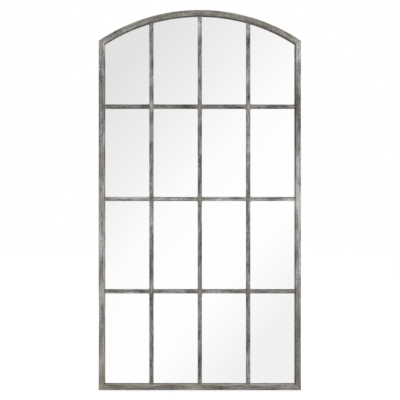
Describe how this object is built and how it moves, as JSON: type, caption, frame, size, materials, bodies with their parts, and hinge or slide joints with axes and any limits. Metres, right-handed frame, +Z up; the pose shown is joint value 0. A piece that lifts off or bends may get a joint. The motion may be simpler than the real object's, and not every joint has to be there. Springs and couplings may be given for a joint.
{
  "type": "arched mirror",
  "caption": "Tall window-style mirror with a segmental arched top: a welded steel tube frame and grid of glazing bars over one mirror sheet, with ring hangers behind.",
  "frame": {"origin": "middle of the bottom rail's underside, at mid depth of the frame tube, on the floor line", "axes": "+Z up, +X to the right as seen from the front, front faces -Y and the back faces +Y"},
  "size_m": [0.958, 0.046, 1.8],
  "materials": {
    "frame_steel": "weathered zinc-grey steel, brushed along the tube, tinted brown near the welds",
    "weld": "ground weld bead",
    "mirror": "silvered float glass",
    "board": "raw fibreboard",
    "hardboard": "raw hardboard",
    "zinc": "bright zinc plate",
    "rubber": "matt black rubber"
  },
  "bodies": {
    "frame": {"arch_rail": "frame_steel", "arch_stop": "frame_steel", "backing_board": "board", "bar_end_welds": "weld", "bottom_rail": "frame_steel", "bottom_stop": "frame_steel", "cross_bar_lower_1": "frame_steel", "cross_bar_lower_2": "frame_steel", "cross_bar_lower_3": "frame_steel", "cross_bar_lower_4": "frame_steel", "cross_bar_middle_1": "frame_steel", "cross_bar_middle_2": "frame_steel", "cross_bar_middle_3": "frame_steel", "cross_bar_middle_4": "frame_steel", "cross_bar_upper_1": "frame_steel", "cross_bar_upper_2": "frame_steel", "cross_bar_upper_3": "frame_steel", "cross_bar_upper_4": "frame_steel", "crossing_welds": "weld", "hanger_screws": "zinc", "hanger_strap_left": "zinc", "hanger_strap_right": "zinc", "left_stile": "frame_steel", "left_stop": "frame_steel", "mirror_glass": "mirror", "packing_strips": "hardboard", "right_stile": "frame_steel", "right_stop": "frame_steel", "setting_blocks": "rubber", "turn_button_screws": "zinc", "upright_centre": "frame_steel", "upright_left": "frame_steel", "upright_right": "frame_steel", "wall_bumpers": "rubber"},
    "hanger_ring_left": {"hanger_ring_left": "zinc"},
    "hanger_ring_right": {"hanger_ring_right": "zinc"},
    "turn_button_arch_left": {"turn_button_arch_left": "zinc"},
    "turn_button_arch_right": {"turn_button_arch_right": "zinc"},
    "turn_button_bottom_left": {"turn_button_bottom_left": "zinc"},
    "turn_button_bottom_right": {"turn_button_bottom_right": "zinc"},
    "turn_button_left_1": {"turn_button_left_1": "zinc"},
    "turn_button_left_2": {"turn_button_left_2": "zinc"},
    "turn_button_left_3": {"turn_button_left_3": "zinc"},
    "turn_button_right_1": {"turn_button_right_1": "zinc"},
    "turn_button_right_2": {"turn_button_right_2": "zinc"},
    "turn_button_right_3": {"turn_button_right_3": "zinc"}
  },
  "joints": [
    {"name": "turn_button_left_1_turn", "type": "hinge", "parent": "frame", "child": "turn_button_left_1", "pos_m": [-0.4665, 0.019, 0.25], "axis": [0, 1, 0], "continuous": true},
    {"name": "turn_button_left_2_turn", "type": "hinge", "parent": "frame", "child": "turn_button_left_2", "pos_m": [-0.4665, 0.019, 0.80051], "axis": [0, 1, 0], "continuous": true},
    {"name": "turn_button_left_3_turn", "type": "hinge", "parent": "frame", "child": "turn_button_left_3", "pos_m": [-0.4665, 0.019, 1.35102], "axis": [0, 1, 0], "continuous": true},
    {"name": "turn_button_bottom_left_turn", "type": "hinge", "parent": "frame", "child": "turn_button_bottom_left", "pos_m": [-0.23, 0.019, 0.0125], "axis": [0, 1, 0], "continuous": true},
    {"name": "turn_button_arch_left_turn", "type": "hinge", "parent": "frame", "child": "turn_button_arch_left", "pos_m": [-0.26227, 0.019, 1.74596], "axis": [0, 1, 0], "continuous": true},
    {"name": "hanger_ring_left_swing", "type": "hinge", "parent": "frame", "child": "hanger_ring_left", "pos_m": [-0.4665, 0.0228, 1.48102], "axis": [1, 0, 0], "range_deg": [0, 180]},
    {"name": "turn_button_right_1_turn", "type": "hinge", "parent": "frame", "child": "turn_button_right_1", "pos_m": [0.4665, 0.019, 0.25], "axis": [0, 1, 0], "continuous": true},
    {"name": "turn_button_right_2_turn", "type": "hinge", "parent": "frame", "child": "turn_button_right_2", "pos_m": [0.4665, 0.019, 0.80051], "axis": [0, 1, 0], "continuous": true},
    {"name": "turn_button_right_3_turn", "type": "hinge", "parent": "frame", "child": "turn_button_right_3", "pos_m": [0.4665, 0.019, 1.35102], "axis": [0, 1, 0], "continuous": true},
    {"name": "turn_button_bottom_right_turn", "type": "hinge", "parent": "frame", "child": "turn_button_bottom_right", "pos_m": [0.23, 0.019, 0.0125], "axis": [0, 1, 0], "continuous": true},
    {"name": "turn_button_arch_right_turn", "type": "hinge", "parent": "frame", "child": "turn_button_arch_right", "pos_m": [0.26227, 0.019, 1.74596], "axis": [0, 1, 0], "continuous": true},
    {"name": "hanger_ring_right_swing", "type": "hinge", "parent": "frame", "child": "hanger_ring_right", "pos_m": [0.4665, 0.0228, 1.48102], "axis": [1, 0, 0], "range_deg": [0, 180]}
  ]
}
